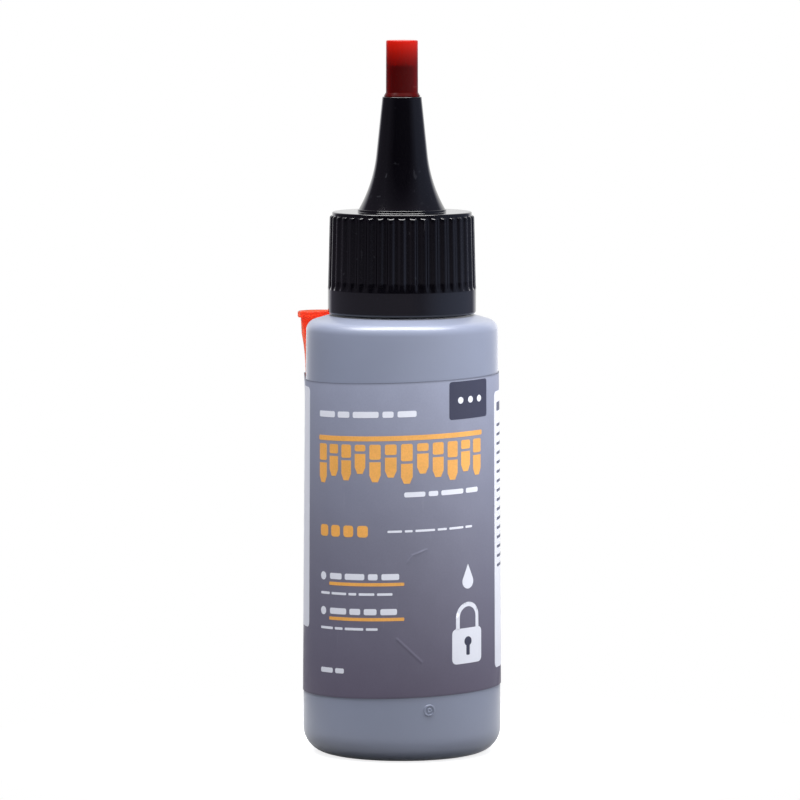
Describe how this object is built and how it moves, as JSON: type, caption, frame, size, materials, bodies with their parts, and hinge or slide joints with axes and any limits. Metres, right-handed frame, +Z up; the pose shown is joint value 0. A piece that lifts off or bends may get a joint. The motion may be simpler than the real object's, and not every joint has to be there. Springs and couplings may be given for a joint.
{
  "type": "graphite lock lubricant bottle",
  "caption": "Round squeeze bottle of graphite lock lubricant with a ribbed screw cap, a tapered spout closed by a push-on tip cap, and an extension nozzle stored behind the wrap label.",
  "frame": {"origin": "the bottle's axis at the plane of its foot", "axes": "+Z up along the bottle's axis towards the spout, -Y out of the label's front"},
  "size_m": [0.0373, 0.0362, 0.1295],
  "materials": {
    "bottle_plastic": "satin silver-grey blow-moulded polyethylene",
    "graphite": "dull dark grey graphite",
    "label_film": "satin printed label",
    "seal_foam": "white foam",
    "cap_plastic": "black moulded plastic, semi-gloss",
    "tip_plastic": "translucent red moulded plastic",
    "nozzle_plastic": "bright red moulded plastic"
  },
  "bodies": {
    "bottle": {"bottle": "bottle_plastic", "graphite_charge": "graphite", "wrap_label": "label_film"},
    "neck_seal": {"neck_seal": "seal_foam"},
    "spout_cap": {"spout_cap": "cap_plastic"},
    "tip_cap": {"tip_cap": "tip_plastic"},
    "extension_nozzle": {"extension_nozzle": "nozzle_plastic"}
  },
  "joints": [
    {"name": "cap_lift", "type": "slide", "parent": "bottle", "child": "neck_seal", "axis": [0, 0, 1], "range_m": [0, 0.0048]},
    {"name": "cap_turn", "type": "hinge", "parent": "neck_seal", "child": "spout_cap", "pos_m": [0, 0, 0.0957], "axis": [0, 0, 1], "range_deg": [0, 540]},
    {"name": "tip_pull", "type": "slide", "parent": "spout_cap", "child": "tip_cap", "axis": [0, 0, 1], "range_m": [0, 0.012]},
    {"name": "nozzle_draw", "type": "slide", "parent": "bottle", "child": "extension_nozzle", "axis": [-0.0174, 0.0141, 0.9997], "range_m": [0, 0.054]}
  ],
  "couplings": [
    {"joint": "cap_lift", "follows": "cap_turn", "m_per_rad": 0.00050532}
  ]
}
